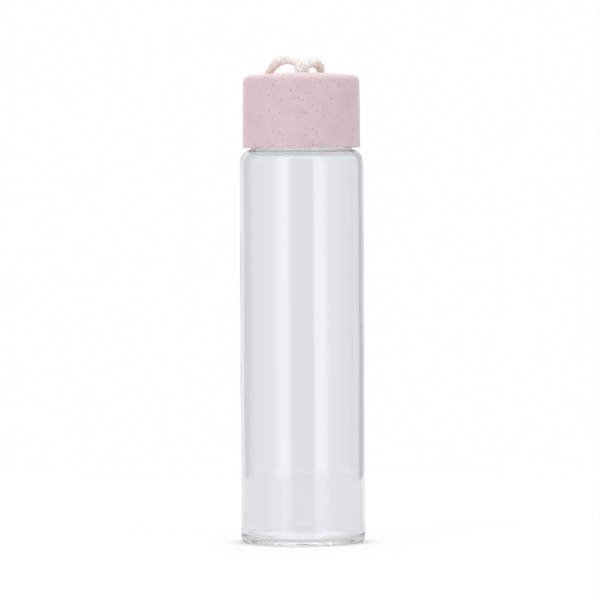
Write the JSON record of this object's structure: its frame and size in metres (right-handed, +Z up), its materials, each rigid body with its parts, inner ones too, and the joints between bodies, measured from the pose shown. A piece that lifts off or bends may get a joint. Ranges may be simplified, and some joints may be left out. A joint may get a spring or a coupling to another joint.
{
  "type": "drinking bottle",
  "caption": "Straight-sided clear glass drinking bottle with a flat screw lid, an inner seal and a braided cord loop for carrying.",
  "frame": {"origin": "centre of the base, on the plane that the bottle stands on", "axes": "+Z up along the bottle's axis; -Y towards the front of the picture; the cord loop hangs at +Y"},
  "size_m": [0.062, 0.0656, 0.2443],
  "materials": {
    "glass": "clear, polished",
    "lid_plastic": "matte, with plant-fibre specks",
    "liner_plastic": "satin white",
    "silicone": "milky silicone",
    "cord": "braided cotton"
  },
  "bodies": {
    "bottle": {"glass_bottle": "glass"},
    "seal": {"seal_ring": "silicone"},
    "lid": {"lid_shell": "lid_plastic", "lid_liner": "liner_plastic", "carry_cord": "cord", "stopper_knot": "cord"}
  },
  "joints": [
    {"name": "lid_lift", "type": "slide", "parent": "bottle", "child": "seal", "axis": [0, 0, 1], "range_m": [0, 0.0072]},
    {"name": "lid_turn", "type": "hinge", "parent": "seal", "child": "lid", "pos_m": [0, 0, 0.2], "axis": [0, 0, 1], "range_deg": [0, 519]}
  ],
  "couplings": [
    {"joint": "lid_turn", "follows": "lid_lift", "rad_per_m": 1256.6}
  ]
}
